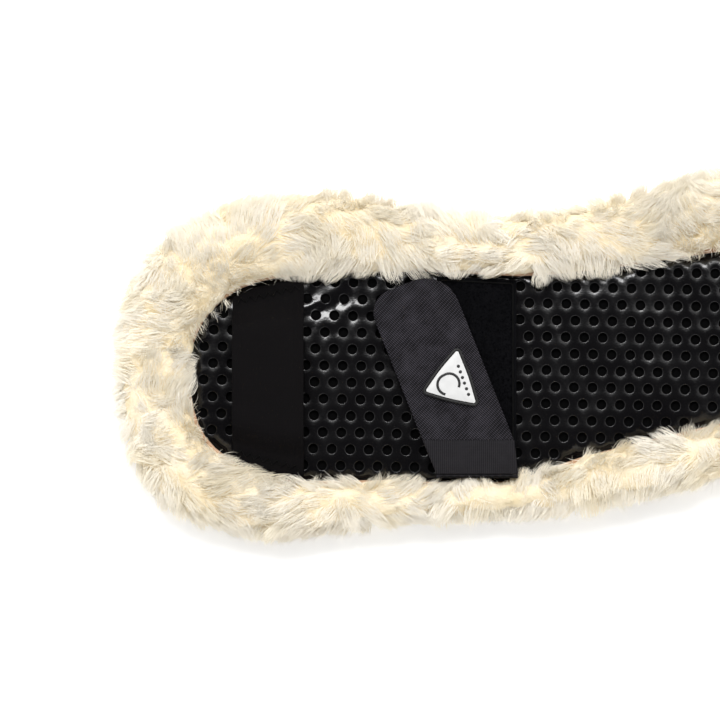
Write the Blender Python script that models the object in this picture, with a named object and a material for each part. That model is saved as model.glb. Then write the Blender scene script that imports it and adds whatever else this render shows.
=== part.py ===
"""Sheepskin-edged gel sleeve for a saddle girth, laid open with its girth side up.

Frame: metres. +X runs along the sleeve, +Y towards the horse's head and +Z away from the horse.
The origin is the centre of the sleeve's box, on the plane that rests against the horse.
"""
import math

import bmesh
import bpy
from mathutils import Matrix, Vector

MM = 0.001
GAP = 0.3 * MM  # clearance kept between pieces that touch on the real object

# Heights of the layers, from the horse's side up
LINING_THICKNESS = 13.0 * MM
BACKING_THICKNESS = 1.0 * MM
GEL_THICKNESS = 3.0 * MM
ROLL_HEIGHT = 33.0 * MM
ROLL_WIDEST = 16.0 * MM  # height at which the rolled edge bulges out furthest
EDGE_PRESS = 0.4 * MM  # how much thinner the gel is along its sewn edge and under the straps
SEAT_HALF = 126.0 * MM  # half the length of the middle of the gel, which keeps its full thickness
SEAT_MARGIN = 5.0 * MM

# Outlines of the left half in millimetres, from the front centre round the end to the rear centre.
# The two lists match point for point: a section of the rolled edge spans each pair.
OUTER_EDGE = [
    (0, 99), (-45, 92), (-88, 80), (-132, 73), (-180, 78), (-232, 85), (-285, 80), (-324, 60),
    (-345, 20), (-346, -28), (-334, -68), (-306, -90), (-264, -99), (-210, -92), (-148, -88),
    (-95, -84), (-45, -73), (0, -66),
]
PANEL_EDGE = [
    (0, 58), (-45, 52), (-86, 46), (-130, 42.5), (-180, 45), (-232, 44), (-273, 39), (-297, 24),
    (-308, 3), (-309, -22), (-301, -46), (-281, -62), (-254, -70), (-208, -70), (-140, -71),
    (-98, -58), (-46, -45), (0, -37),
]
STEPS_PER_SPAN = 3

# Elastic loops: across the panel near each end, standing off it so that a girth slides through
ELASTIC_MIDDLE = 266.0 * MM
ELASTIC_WIDTH = 38.5 * MM
ELASTIC_THICKNESS = 1.6 * MM
ELASTIC_RISE = 7.0 * MM
SEWN_LENGTH = 8.0 * MM
RAMP_LENGTH = 15.0 * MM
EDGE_MARGIN = 3.5 * MM  # what the straps' ends keep from the panel's edge

# Loop tape: the soft half of the hook-and-loop closure
TAPE_MIDDLE = 153.5 * MM
TAPE_WIDTH = 43.0 * MM
TAPE_THICKNESS = 2.0 * MM

# Closure flap: an elastic tab sewn to the rear edge, then the flap, leaning towards the sleeve's end
FLAP_LEAN = math.radians(21.8)
FLAP_WIDTH = 45.7 * MM
FLAP_LENGTH = 90.6 * MM  # from the fold at the tab to the tip, along the flap's middle
FLAP_THICKNESS = 2.2 * MM
FLAP_FOLD = Vector((-158.3 * MM, -47.0 * MM))  # where the flap's middle crosses its fold
TAB_FOLD_Y = -65.3 * MM
TAB_CORNER_X = -131.5 * MM  # the tab's corner nearer the middle, where it narrows to its sewn end
ANCHOR_DEPTH = 2.2 * MM
HOOK_THICKNESS = 1.4 * MM
HOOK_INSET = 3.0 * MM
FOLD_GAP = 0.4 * MM

# Badge on the flap: a plain triangle with slightly bowed sides
BADGE_CORNERS = [(-164.2, 1.6), (-181.6, -20.8), (-154.2, -27.4)]
BADGE_CORNER_RADIUS = 1.0 * MM
BADGE_SIDE_RADIUS = 100.0 * MM
BADGE_BOW = 0.8 * MM  # how far the middle of each side stands out from a straight line
BADGE_BORDER = 1.7 * MM
BADGE_BASE_THICKNESS = 1.6 * MM
BADGE_FACE_THICKNESS = 0.8 * MM

THREAD_RADIUS = 0.35 * MM

BACKING_Z = LINING_THICKNESS + GAP
GEL_Z = BACKING_Z + BACKING_THICKNESS + GAP
GEL_TOP = GEL_Z + GEL_THICKNESS
STRAP_Z = GEL_TOP + GAP
TAPE_TOP = STRAP_Z + TAPE_THICKNESS
THREAD_Z = TAPE_TOP + GAP + THREAD_RADIUS
HOOK_Z = THREAD_Z + THREAD_RADIUS + GAP
FLAP_Z = HOOK_Z + HOOK_THICKNESS + GAP
FLAP_TOP = FLAP_Z + FLAP_THICKNESS
BADGE_Z = FLAP_TOP + GAP

MATERIALS = {
    "wool": ((0.86, 0.79, 0.66), 0.95, 0.0),
    "gel": ((0.012, 0.012, 0.013), 0.18, 0.0),
    "backing": ((0.01, 0.01, 0.011), 0.9, 0.0),
    "elastic": ((0.014, 0.014, 0.016), 0.75, 0.0),
    "loop_pile": ((0.006, 0.006, 0.008), 0.98, 0.0),
    "flap_webbing": ((0.03, 0.028, 0.034), 0.7, 0.0),
    "hook": ((0.02, 0.02, 0.022), 0.6, 0.0),
    "thread": ((0.012, 0.012, 0.013), 0.6, 0.0),
    "badge_rubber": ((0.012, 0.012, 0.012), 0.45, 0.0),
    "badge_white": ((0.85, 0.85, 0.84), 0.4, 0.0),
}


def clear_scene():
    for item in list(bpy.data.objects):
        bpy.data.objects.remove(item, do_unlink=True)


def new_collection(name):
    collection = bpy.data.collections.new(name)
    bpy.context.scene.collection.children.link(collection)
    return collection


def make_material(name, finish):
    color, roughness, metallic = MATERIALS[finish]
    material = bpy.data.materials.new(name)
    material.use_nodes = True
    shader = material.node_tree.nodes["Principled BSDF"]
    shader.inputs["Base Color"].default_value = (*color, 1.0)
    shader.inputs["Roughness"].default_value = roughness
    shader.inputs["Metallic"].default_value = metallic
    return material


def add_object(name, data, finish):
    piece = bpy.data.objects.new(name, data)
    PARTS.objects.link(piece)
    data.materials.append(make_material(name, finish))
    return piece


def mesh_piece(name, mesh_data, finish):
    """An object around a bmesh, welded and facing out."""
    bmesh.ops.remove_doubles(mesh_data, verts=mesh_data.verts, dist=1e-6)
    bmesh.ops.recalc_face_normals(mesh_data, faces=mesh_data.faces)
    mesh = bpy.data.meshes.new(name)
    mesh_data.to_mesh(mesh)
    mesh_data.free()
    return add_object(name, mesh, finish)


def smooth_loop(half):
    """A closed Catmull-Rom curve through a half outline in millimetres and its mirror image."""
    knots = [Vector(point) * MM for point in half]
    knots += [Vector((-point.x, point.y)) for point in reversed(knots[1:-1])]
    count = len(knots)
    points = []
    for i in range(count):
        before, start, end, after = (knots[(i + k) % count] for k in (-1, 0, 1, 2))
        for step in range(STEPS_PER_SPAN):
            t = step / STEPS_PER_SPAN
            points.append(0.5 * (
                2 * start + (end - before) * t
                + (2 * before - 5 * start + 4 * end - after) * t ** 2
                + (3 * start - before - 3 * end + after) * t ** 3
            ))
    return points


def inset(outline, distance):
    """The outline moved inwards, whichever way round it runs."""
    count = len(outline)
    area = sum(outline[i - 1].cross(outline[i]) for i in range(count))
    turn = math.copysign(1.0, area)
    moved = []
    for i, point in enumerate(outline):
        along = (outline[(i + 1) % count] - outline[i - 1]).normalized()
        moved.append(point + Vector((-along.y, along.x)) * turn * distance)
    return moved


def rounded_polygon(corners, radii, steps=6):
    """A polygon whose corners are arcs of the given radii; a radius of 0 keeps its corner sharp."""
    points = []
    count = len(corners)
    for i, (corner, radius) in enumerate(zip(corners, radii)):
        if radius == 0:
            points.append(corner)
            continue
        back = (corners[i - 1] - corner).normalized()
        ahead = (corners[(i + 1) % count] - corner).normalized()
        half_angle = back.angle(ahead) / 2
        centre = corner + (back + ahead).normalized() * radius / math.sin(half_angle)
        start = corner + back * radius / math.tan(half_angle) - centre
        end = corner + ahead * radius / math.tan(half_angle) - centre
        sweep = start.angle_signed(end)
        for step in range(steps + 1):
            points.append(centre + Matrix.Rotation(-sweep * step / steps, 2) @ start)
    return points


def mirrored(points, side):
    """The points as designed on the left, for side -1, or mirrored to the right, for side 1."""
    return [Vector((-side * point.x, *point[1:])) for point in points]


def flat_piece(name, outline, low, high, finish):
    """A plate with the outline's shape."""
    curve = bpy.data.curves.new(name, "CURVE")
    curve.dimensions = "2D"
    curve.fill_mode = "BOTH"
    curve.extrude = (high - low) / 2
    spline = curve.splines.new("POLY")
    spline.points.add(len(outline) - 1)
    for place, point in zip(spline.points, outline):
        place.co = (point.x, point.y, 0, 1)
    spline.use_cyclic_u = True
    guide = bpy.data.objects.new(name + "_outline", curve)
    PARTS.objects.link(guide)
    guide.location.z = (low + high) / 2
    depsgraph = bpy.context.evaluated_depsgraph_get()
    mesh = bpy.data.meshes.new_from_object(guide.evaluated_get(depsgraph))
    mesh_data = bmesh.new()
    mesh_data.from_mesh(mesh)
    mesh_data.transform(Matrix.Translation(guide.location))
    bpy.data.objects.remove(guide, do_unlink=True)
    return mesh_piece(name, mesh_data, finish)


def thread(name, points, cyclic=False):
    """A sewing thread along the points."""
    curve = bpy.data.curves.new(name, "CURVE")
    curve.dimensions = "3D"
    curve.bevel_depth = THREAD_RADIUS
    curve.bevel_resolution = 1
    curve.use_fill_caps = not cyclic
    spline = curve.splines.new("POLY")
    spline.points.add(len(points) - 1)
    for place, point in zip(spline.points, points):
        place.co = (*point, 1)
    spline.use_cyclic_u = cyclic
    piece = add_object(name, curve, "thread")
    weld = piece.modifiers.new("close_caps", "WELD")
    weld.merge_threshold = 1e-6
    return piece


def roll_section(inner, outer):
    """One section of the rolled edge, from its foot at the panel over the top to its foot outside."""
    profile = [(0.0, 0.0)]
    crown_steps = 9
    for step in range(crown_steps + 1):
        turn = math.pi * step / crown_steps
        profile.append((
            0.5 - 0.5 * math.cos(turn),
            ROLL_WIDEST + (ROLL_HEIGHT - ROLL_WIDEST) * math.sin(turn),
        ))
    profile += [(0.98, 0.5 * ROLL_WIDEST), (0.91, 0.18 * ROLL_WIDEST), (0.8, 0.0)]
    section = []
    for across, height in profile:
        place = inner.lerp(outer, across)
        section.append(Vector((place.x, place.y, height)))
    return section


def make_edge_roll(panel_edge, outer_edge):
    mesh_data = bmesh.new()
    rings = [
        [mesh_data.verts.new(point) for point in roll_section(inner, outer)]
        for inner, outer in zip(panel_edge, outer_edge)
    ]
    for i, ring in enumerate(rings):
        following = rings[(i + 1) % len(rings)]
        for k in range(len(ring)):
            after = (k + 1) % len(ring)
            mesh_data.faces.new((ring[k], ring[after], following[after], following[k]))
    return mesh_piece("sheepskin_edge_roll", mesh_data, "wool")


def make_gel(outline):
    """The gel panel: thin along its edge and under the straps, with a thicker seat between them."""
    gel = flat_piece("gel_panel", outline, GEL_Z, GEL_TOP - EDGE_PRESS, "gel")
    seat_outline = [point for point in inset(outline, SEAT_MARGIN) if abs(point.x) < SEAT_HALF]
    seat = flat_piece("gel_seat", seat_outline, GEL_Z + EDGE_PRESS, GEL_TOP, "gel")
    seat.display_type = "WIRE"
    seat.hide_render = True
    PARTS.objects.unlink(seat)
    TOOLS.objects.link(seat)
    union = gel.modifiers.new("seat", "BOOLEAN")
    union.operation = "UNION"
    union.object = seat


def edge_crossing(outline, x, front):
    """Y of the panel's front or rear edge at the given X."""
    crossings = []
    for i, end in enumerate(outline):
        start = outline[i - 1]
        if (start.x - x) * (end.x - x) <= 0 and start.x != end.x:
            crossings.append(start.y + (end.y - start.y) * (x - start.x) / (end.x - start.x))
    return max(crossings) if front else min(crossings)


def strap_height(distance, rise):
    """How far a strap stands off the panel at a distance from its nearer end."""
    t = min(max((distance - SEWN_LENGTH) / RAMP_LENGTH, 0.0), 1.0)
    return rise * t * t * (3 - 2 * t)


def cross_strap(name, panel_edge, middle, width, thickness, rise, finish):
    """A strap from the panel's rear edge to its front edge, with its ends cut along those edges."""
    columns, rows = 3, 30
    mesh_data = bmesh.new()
    layers = []
    for layer in (0, 1):
        grid = []
        for column in range(columns + 1):
            x = middle + width * (column / columns - 0.5)
            rear = edge_crossing(panel_edge, x, front=False) + EDGE_MARGIN
            front = edge_crossing(panel_edge, x, front=True) - EDGE_MARGIN
            line = []
            for row in range(rows + 1):
                y = rear + (front - rear) * row / rows
                z = STRAP_Z + strap_height(min(y - rear, front - y), rise) + layer * thickness
                line.append(mesh_data.verts.new((x, y, z)))
            grid.append(line)
        layers.append(grid)
        for column in range(columns):
            for row in range(rows):
                mesh_data.faces.new((
                    grid[column][row], grid[column + 1][row],
                    grid[column + 1][row + 1], grid[column][row + 1],
                ))
    rim = [(0, row) for row in range(rows)]
    rim += [(column, rows) for column in range(columns)]
    rim += [(columns, row) for row in range(rows, 0, -1)]
    rim += [(column, 0) for column in range(columns, 0, -1)]
    for i, (column, row) in enumerate(rim):
        next_column, next_row = rim[(i + 1) % len(rim)]
        mesh_data.faces.new((
            layers[0][column][row], layers[0][next_column][next_row],
            layers[1][next_column][next_row], layers[1][column][row],
        ))
    return mesh_piece(name, mesh_data, finish)


def zigzag(start, end, amplitude, height, strokes=14):
    """A zigzag row of stitches between two points of the panel."""
    across = (end - start).orthogonal().normalized() * amplitude
    points = []
    for i in range(strokes + 1):
        place = start.lerp(end, i / strokes) + (across if i % 2 else -across)
        points.append(Vector((place.x, place.y, height)))
    return points


def make_elastic(panel_edge, side, label):
    middle = side * ELASTIC_MIDDLE
    cross_strap(
        "elastic_loop_" + label, panel_edge, middle, ELASTIC_WIDTH, ELASTIC_THICKNESS,
        ELASTIC_RISE, "elastic",
    )
    height = STRAP_Z + ELASTIC_THICKNESS + GAP + THREAD_RADIUS
    for end, front in (("front", True), ("rear", False)):
        inwards = -1 if front else 1
        row = []
        for x in (middle - 0.44 * ELASTIC_WIDTH, middle + 0.44 * ELASTIC_WIDTH):
            y = edge_crossing(panel_edge, x, front) + inwards * (EDGE_MARGIN + 0.5 * SEWN_LENGTH)
            row.append(Vector((x, y)))
        thread(f"elastic_tack_{end}_{label}", zigzag(row[0], row[1], 1.5 * MM, height))


def make_loop_tape(panel_edge, side, label):
    middle = side * TAPE_MIDDLE
    cross_strap(
        "loop_tape_" + label, panel_edge, middle, TAPE_WIDTH, TAPE_THICKNESS, 0.0, "loop_pile",
    )
    inset_x = 0.5 * TAPE_WIDTH - 2.0 * MM
    inset_y = EDGE_MARGIN + 2.0 * MM
    corners = []
    for x, front in ((-1, False), (1, False), (1, True), (-1, True)):
        place = middle + x * inset_x
        y = edge_crossing(panel_edge, place, front)
        corners.append(Vector((place, y - inset_y if front else y + inset_y)))
    # The row of stitches passes in front of the flap's sewn end
    for corner in corners[:2]:
        corner.y = max(corner.y, TAB_FOLD_Y + 1.0 * MM)
    outline = rounded_polygon(corners, [1.5 * MM] * 4, steps=3)
    points = [Vector((point.x, point.y, THREAD_Z)) for point in outline]
    thread("loop_tape_seam_" + label, points, cyclic=True)


def flap_point(along, across):
    """A point of the left flap's plane, measured along its length from the fold and across it."""
    length = Vector((-math.sin(FLAP_LEAN), math.cos(FLAP_LEAN)))
    width = Vector((math.cos(FLAP_LEAN), math.sin(FLAP_LEAN)))
    return FLAP_FOLD + length * along + width * across


def edge_at(across, y):
    """Where the line of the left flap's side, at a distance across it, crosses a given Y."""
    start = flap_point(0.0, across)
    along = (y - start.y) / math.cos(FLAP_LEAN)
    return flap_point(along, across)


def flap_outline(shrink=0.0, base_y=FLAP_FOLD.y + FOLD_GAP):
    half = FLAP_WIDTH / 2 - shrink
    tip = FLAP_LENGTH - shrink
    corners = [
        edge_at(-half, base_y), edge_at(half, base_y), flap_point(tip, half), flap_point(tip, -half),
    ]
    return rounded_polygon(corners, [0, 0, 19 * MM - shrink, 13 * MM - shrink], steps=8)


def badge_outline(border):
    corners = [Vector(corner) * MM for corner in BADGE_CORNERS]
    bowed = []
    for start, end in zip(corners, corners[1:] + corners[:1]):
        along = (end - start).normalized()
        bowed += [start, (start + end) / 2 + Vector((along.y, -along.x)) * BADGE_BOW]
    outline = rounded_polygon(bowed, [BADGE_CORNER_RADIUS, BADGE_SIDE_RADIUS] * 3)
    return inset(outline, -border) if border else outline


def make_hinge(name, location, parent=None):
    """An empty on a fold's axis; what moves about that fold is its child."""
    empty = bpy.data.objects.new(name, None)
    empty.empty_display_size = 10 * MM
    PARTS.objects.link(empty)
    empty.location = location
    if parent:
        empty.parent = parent
        empty.matrix_parent_inverse = Matrix.Translation(-HINGE_PLACES[parent.name])
    HINGE_PLACES[name] = Vector(location)
    return empty


def hang(piece, hinge):
    piece.parent = hinge
    piece.matrix_parent_inverse = Matrix.Translation(-HINGE_PLACES[hinge.name])


def make_closure(side, label):
    half = FLAP_WIDTH / 2
    base_left = edge_at(-half, TAB_FOLD_Y)
    base_right = Vector((TAB_CORNER_X, TAB_FOLD_Y))
    middle = (base_left.x + base_right.x) / 2
    tab_hinge = make_hinge("tab_hinge_" + label, (-side * middle, TAB_FOLD_Y, FLAP_TOP))
    flap_hinge = make_hinge(
        "flap_hinge_" + label, (-side * FLAP_FOLD.x, FLAP_FOLD.y, FLAP_TOP), tab_hinge,
    )

    anchor = [
        base_left + Vector((0, -FOLD_GAP)), base_right + Vector((0, -FOLD_GAP)),
        base_right + Vector((0, -ANCHOR_DEPTH)), base_left + Vector((0, -ANCHOR_DEPTH)),
    ]
    flat_piece("flap_anchor_" + label, mirrored(anchor, side), TAPE_TOP + GAP, FLAP_TOP, "elastic")
    row_y = TAB_FOLD_Y - 0.5 * (ANCHOR_DEPTH + FOLD_GAP)
    ends = [Vector((base_left.x + 2 * MM, row_y)), Vector((base_right.x - 2 * MM, row_y))]
    tack = zigzag(ends[0], ends[1], 0.5 * MM, FLAP_TOP + GAP + THREAD_RADIUS, strokes=20)
    thread("flap_anchor_tack_" + label, mirrored(tack, side))

    tab = [
        base_left + Vector((0, FOLD_GAP)), base_right + Vector((0, FOLD_GAP)),
        edge_at(half, FLAP_FOLD.y - FOLD_GAP), edge_at(-half, FLAP_FOLD.y - FOLD_GAP),
    ]
    tab_piece = flat_piece("flap_tab_" + label, mirrored(tab, side), FLAP_Z, FLAP_TOP, "elastic")
    hang(tab_piece, tab_hinge)

    moving = [
        flat_piece(
            "closure_flap_" + label, mirrored(flap_outline(), side), FLAP_Z, FLAP_TOP, "flap_webbing",
        ),
        flat_piece(
            "hook_tape_" + label,
            mirrored(flap_outline(HOOK_INSET, FLAP_FOLD.y + 2 * HOOK_INSET), side),
            HOOK_Z, HOOK_Z + HOOK_THICKNESS, "hook",
        ),
        flat_piece(
            "badge_base_" + label, mirrored(badge_outline(BADGE_BORDER), side),
            BADGE_Z, BADGE_Z + BADGE_BASE_THICKNESS, "badge_rubber",
        ),
        flat_piece(
            "badge_face_" + label, mirrored(badge_outline(0.0), side),
            BADGE_Z + BADGE_BASE_THICKNESS + GAP,
            BADGE_Z + BADGE_BASE_THICKNESS + GAP + BADGE_FACE_THICKNESS, "badge_white",
        ),
    ]
    for piece in moving:
        hang(piece, flap_hinge)


def main():
    panel_edge = smooth_loop(PANEL_EDGE)
    outer_edge = smooth_loop(OUTER_EDGE)
    make_edge_roll(panel_edge, outer_edge)
    inside_roll = inset(panel_edge, GAP)
    flat_piece("sheepskin_lining", inside_roll, 0.0, LINING_THICKNESS, "wool")
    flat_piece("backing_cloth", inside_roll, BACKING_Z, BACKING_Z + BACKING_THICKNESS, "backing")
    make_gel(inside_roll)
    seam = [Vector((p.x, p.y, GEL_TOP + GAP + THREAD_RADIUS)) for p in inset(panel_edge, 1.6 * MM)]
    thread("perimeter_seam", seam, cyclic=True)
    for side, label in ((-1, "left"), (1, "right")):
        make_elastic(panel_edge, side, label)
        make_loop_tape(panel_edge, side, label)
        make_closure(side, label)


clear_scene()
PARTS = new_collection("girth_sleeve")
TOOLS = new_collection("girth_sleeve_tools")
HINGE_PLACES = {}
main()
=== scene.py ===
"""Visual model of the girth sleeve: wool locks, perforated gel, woven straps and a plain badge.

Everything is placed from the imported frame: each piece is grown on, or sampled from, the CAD node
that it stands for. Metres; +X along the sleeve, +Y towards the horse's head, +Z up to the viewer.
"""

import math

import bmesh
import bpy
import numpy as np
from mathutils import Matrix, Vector
from mathutils.bvhtree import BVHTree
from mathutils.kdtree import KDTree


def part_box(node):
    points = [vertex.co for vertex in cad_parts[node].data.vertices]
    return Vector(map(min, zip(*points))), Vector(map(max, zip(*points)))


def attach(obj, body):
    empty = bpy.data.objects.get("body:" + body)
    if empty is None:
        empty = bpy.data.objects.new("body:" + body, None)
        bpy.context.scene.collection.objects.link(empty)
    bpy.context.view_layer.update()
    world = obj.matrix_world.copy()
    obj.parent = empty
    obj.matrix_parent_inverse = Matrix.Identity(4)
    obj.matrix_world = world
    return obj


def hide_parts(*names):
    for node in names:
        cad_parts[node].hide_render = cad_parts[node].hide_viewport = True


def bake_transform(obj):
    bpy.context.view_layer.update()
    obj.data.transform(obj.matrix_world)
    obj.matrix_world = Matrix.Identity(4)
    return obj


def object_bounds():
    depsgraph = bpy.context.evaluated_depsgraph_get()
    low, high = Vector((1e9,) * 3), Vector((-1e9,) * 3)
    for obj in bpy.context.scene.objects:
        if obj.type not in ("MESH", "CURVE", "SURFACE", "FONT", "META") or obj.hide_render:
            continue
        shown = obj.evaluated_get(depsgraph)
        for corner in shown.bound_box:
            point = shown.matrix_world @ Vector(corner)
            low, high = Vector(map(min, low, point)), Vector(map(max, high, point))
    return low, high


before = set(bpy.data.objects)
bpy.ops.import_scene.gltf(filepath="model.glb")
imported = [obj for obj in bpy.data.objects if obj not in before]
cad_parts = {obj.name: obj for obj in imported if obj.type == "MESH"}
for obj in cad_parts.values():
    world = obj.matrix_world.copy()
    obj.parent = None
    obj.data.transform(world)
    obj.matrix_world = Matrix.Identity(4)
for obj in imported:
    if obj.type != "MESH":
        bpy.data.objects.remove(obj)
cad_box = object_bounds()

MM = 0.001
SIDES = {"left": -1, "right": 1}  # each side's sign along X
FACE_LIMIT = 190_000  # triangles that one piece may have
REACH_STEP = 2 * MM  # of the grid that distances from the panel's edge are read from
WELDED = {}
REACH = {}

# Wool
LOCK_PLACES = 16_000  # random places on the roll that the locks' roots are picked from
LOCK_SPACING = 6.5 * MM
LOCK_HEIGHT = 1.6 * MM  # of the dome under each lock
ROOT_DEPTH = 2.8 * MM  # how far the fibres' roots lie inside the wool's outer surface
ROOT_RAMP = 14 * MM  # from the panel's edge to where they lie that deep
STRANDS_ON_ROLL = 125_000
STRANDS_ON_LINING = 30_000
STRAND_ROWS = 4
STRAND_WIDTH = 0.33 * MM
STRAND_LENGTHS = (6 * MM, 12 * MM, 17 * MM)  # the shortest, the mean and the longest
STRAY_SHARE = 0.07
STRAND_GATHER = (0.25, 0.65)  # share of the way that a fibre is drawn to its lock's tip
LOCK_REACH = 12 * MM  # from a lock's root to the place that its fibres are drawn to
PILE_DEPTH = 2.5 * MM  # of the fibres under the sleeve, between its body and what it lies on
FRINGE = 5 * MM  # how far the fibres reach in over the panel
WOOL_TONES = {
    "wool_bright": (0.950, 0.905, 0.810),
    "wool_cream": (0.948, 0.898, 0.785),
    "wool_warm": (0.940, 0.880, 0.740),
    "wool_straw": (0.930, 0.845, 0.670),
}

# Studio
WORLD_SIDES = (1.05, 1.05, 1.05)
WORLD_OVERHEAD = (0.02, 0.019, 0.021)
DARK_LEAN = math.radians(20)  # how far the dark part of the world leans to the rear
DARK_CORE = math.radians(30)  # radius of its darkest part
DARK_EDGE = math.radians(39)  # radius at which it ends
KEY_POWER = 17
FILL_POWER = 5
VIEW_SHARE = 0.56  # of the sleeve's length that the camera sees
LEFT_MARGIN = 0.1635  # of the view, beyond the sleeve's left end
VIEW_SHIFT = -4 * MM  # of the camera, along Y

# Gel perforation
HOLE_PITCH = 10.02 * MM
HOLE_ROW_PITCH = 9.02 * MM
HOLE_RADIUS = 2.65 * MM
HOLE_TURN = math.radians(-1.2)
HOLE_SIDES = 18
HOLE_MARGIN = 1.6 * MM  # of sheet, at the least, between a hole and the panel's edge
FIRST_HOLE = np.array([-211.0, -16.4]) * MM
GEL_CROWN = 0.8 * MM  # how much lower the gel lies at its edge than along its middle
CROWN_REACH = 38 * MM  # how far in from the edge it goes on rising
GEL_HOLLOW = 0.35 * MM  # mean depth of the hollows all over the gel
GEL_WRINKLE = 0.75 * MM  # height of the wrinkles between each elastic and its flap
WRINKLE_PITCH = 12 * MM
WRINKLE_PATCH = (19 * MM, 15 * MM)  # how far they reach, along X and Y
GEL_DEEPEST = 2.2 * MM  # the most that all of these together sink the gel

# Straps and flap
RIB_POINTS = 77  # across a woven strap's top
STRAP_ROWS = 91  # along it
TWILL_PITCH = 0.95 * MM
FOLD_STEP = 0.8 * MM  # between the cuts beside a fold, where a strap bends
FLAP_DROOP = 1.6 * MM  # how far the flap's free margin sinks beside the loop tape
HOOK_HEIGHT = 0.7 * MM
HOOK_PITCH = 1.5 * MM
LOOP_FIBRES = 9000  # on each loop tape

# Badge
SHOE_RADIUS = 5.4 * MM
SHOE_SPAN = math.radians(270)  # of a full turn, open at the heels
SHOE_POINTS = 25
SHOE_WIDTH = 1.4 * MM
DOTS = 6
DOT_RADIUS = 0.9 * MM


# ---------------------------------------------------------------- geometry helpers

def bmesh_of(mesh):
    """A bmesh with a mesh's shape."""
    mesh_data = bmesh.new()
    mesh_data.from_mesh(mesh)
    return mesh_data


def welded(name):
    """A copy of a CAD node's mesh whose faces share their vertices."""
    if name not in WELDED:
        mesh_data = bmesh_of(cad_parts[name].data)
        bmesh.ops.remove_doubles(mesh_data, verts=mesh_data.verts, dist=0.001 * MM)
        mesh = bpy.data.meshes.new(name + "_welded")
        mesh_data.to_mesh(mesh)
        mesh_data.free()
        mesh.shade_smooth()
        WELDED[name] = mesh
    return WELDED[name]


def vertex_values(mesh, key):
    """One vector for each vertex of a mesh: its place ("co") or its normal ("normal")."""
    values = np.empty(len(mesh.vertices) * 3)
    mesh.vertices.foreach_get(key, values)
    return values.reshape(-1, 3)


def move_verts(piece, moved):
    """Puts a piece's vertices where a function of them says."""
    verts = moved(vertex_values(piece.data, "co"))
    piece.data.vertices.foreach_set("co", np.ascontiguousarray(verts).ravel())
    piece.data.update()


def node_mesh(name):
    """A CAD node's vertices as an array, and its faces as lists of vertex numbers."""
    mesh = welded(name)
    return vertex_values(mesh, "co"), [tuple(face.vertices) for face in mesh.polygons]


def surface_of(name):
    """A CAD node's surface, for rays."""
    verts, faces = node_mesh(name)
    return BVHTree.FromPolygons([Vector(v) for v in verts], faces)


def new_object(name, mesh, material, smooth=True):
    """A piece in the scene with one material, shaded smooth or flat."""
    piece = bpy.data.objects.new(name, mesh)
    bpy.context.scene.collection.objects.link(piece)
    mesh.materials.append(material)
    if smooth:
        mesh.shade_smooth()
    else:
        mesh.shade_flat()
    return piece


def array_object(name, verts, loops, sizes, material, smooth=True):
    """An object from numpy arrays: vertices, all faces' corners in a row, and each face's size."""
    mesh = bpy.data.meshes.new(name)
    mesh.vertices.add(len(verts))
    mesh.vertices.foreach_set("co", np.ascontiguousarray(verts, dtype=np.float32).ravel())
    mesh.loops.add(len(loops))
    mesh.loops.foreach_set("vertex_index", np.ascontiguousarray(loops, dtype=np.int32))
    mesh.polygons.add(len(sizes))
    starts = np.concatenate(([0], np.cumsum(sizes)[:-1])).astype(np.int32)
    mesh.polygons.foreach_set("loop_start", starts)
    mesh.update(calc_edges=True)
    mesh.validate()
    return new_object(name, mesh, material, smooth)


def bmesh_object(name, mesh_data, material, smooth=True):
    """An object from a bmesh, which it uses up."""
    bmesh.ops.recalc_face_normals(mesh_data, faces=mesh_data.faces)
    mesh = bpy.data.meshes.new(name)
    mesh_data.to_mesh(mesh)
    mesh_data.free()
    return new_object(name, mesh, material, smooth)


def assign(piece, body, node=None):
    """Says which body a piece rides on, and the CAD node that it replaces."""
    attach(piece, body)
    if node:
        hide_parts(node)


def unit(vectors):
    """Each vector at length 1."""
    return vectors / np.maximum(np.linalg.norm(vectors, axis=-1, keepdims=True), 1e-9)


def smooth_noise(points, size, seed, octaves=2):
    """Soft noise in -1..1 at points, from sums of sines in random directions about size apart."""
    source = np.random.default_rng(seed)
    total = np.zeros(len(points))
    reach = 0.0
    waves = 9
    for octave in range(octaves):
        directions = unit(source.normal(size=(waves, 3)))
        rates = 2 * math.pi / (size * source.uniform(0.7, 1.5, waves)) * 2 ** octave
        phases = source.uniform(0, 2 * math.pi, waves)
        share = 0.5 ** octave
        total += share * np.sin(points @ (directions * rates[:, None]).T + phases).sum(axis=1)
        reach += share * math.sqrt(waves / 2)
    return np.clip(total / (1.6 * reach), -1, 1)


def sample_surface(verts, faces, normals, count, source):
    """Random points spread evenly over a mesh, each with its smooth normal."""
    corners = []
    for face in faces:
        corners += [(face[0], face[i], face[i + 1]) for i in range(1, len(face) - 1)]
    corners = np.array(corners)
    a, b, c = (verts[corners[:, k]] for k in range(3))
    areas = np.linalg.norm(np.cross(b - a, c - a), axis=1)
    chosen = source.choice(len(corners), size=count, p=areas / areas.sum())
    u = source.random((count, 1))
    v = source.random((count, 1))
    fold = (u + v) > 1
    u = np.where(fold, 1 - u, u)
    v = np.where(fold, 1 - v, v)
    weights = (1 - u - v, u, v)
    points = sum(w * verts[corners[chosen, k]] for k, w in enumerate(weights))
    turned = sum(w * normals[corners[chosen, k]] for k, w in enumerate(weights))
    return points, unit(turned)


def nearest_of(points, targets):
    """For each point, the nearest target's number and distance."""
    tree = KDTree(len(targets))
    for i, target in enumerate(targets):
        tree.insert(target, i)
    tree.balance()
    found = [tree.find(point) for point in points]
    return np.array([f[1] for f in found]), np.array([f[2] for f in found])


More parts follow.
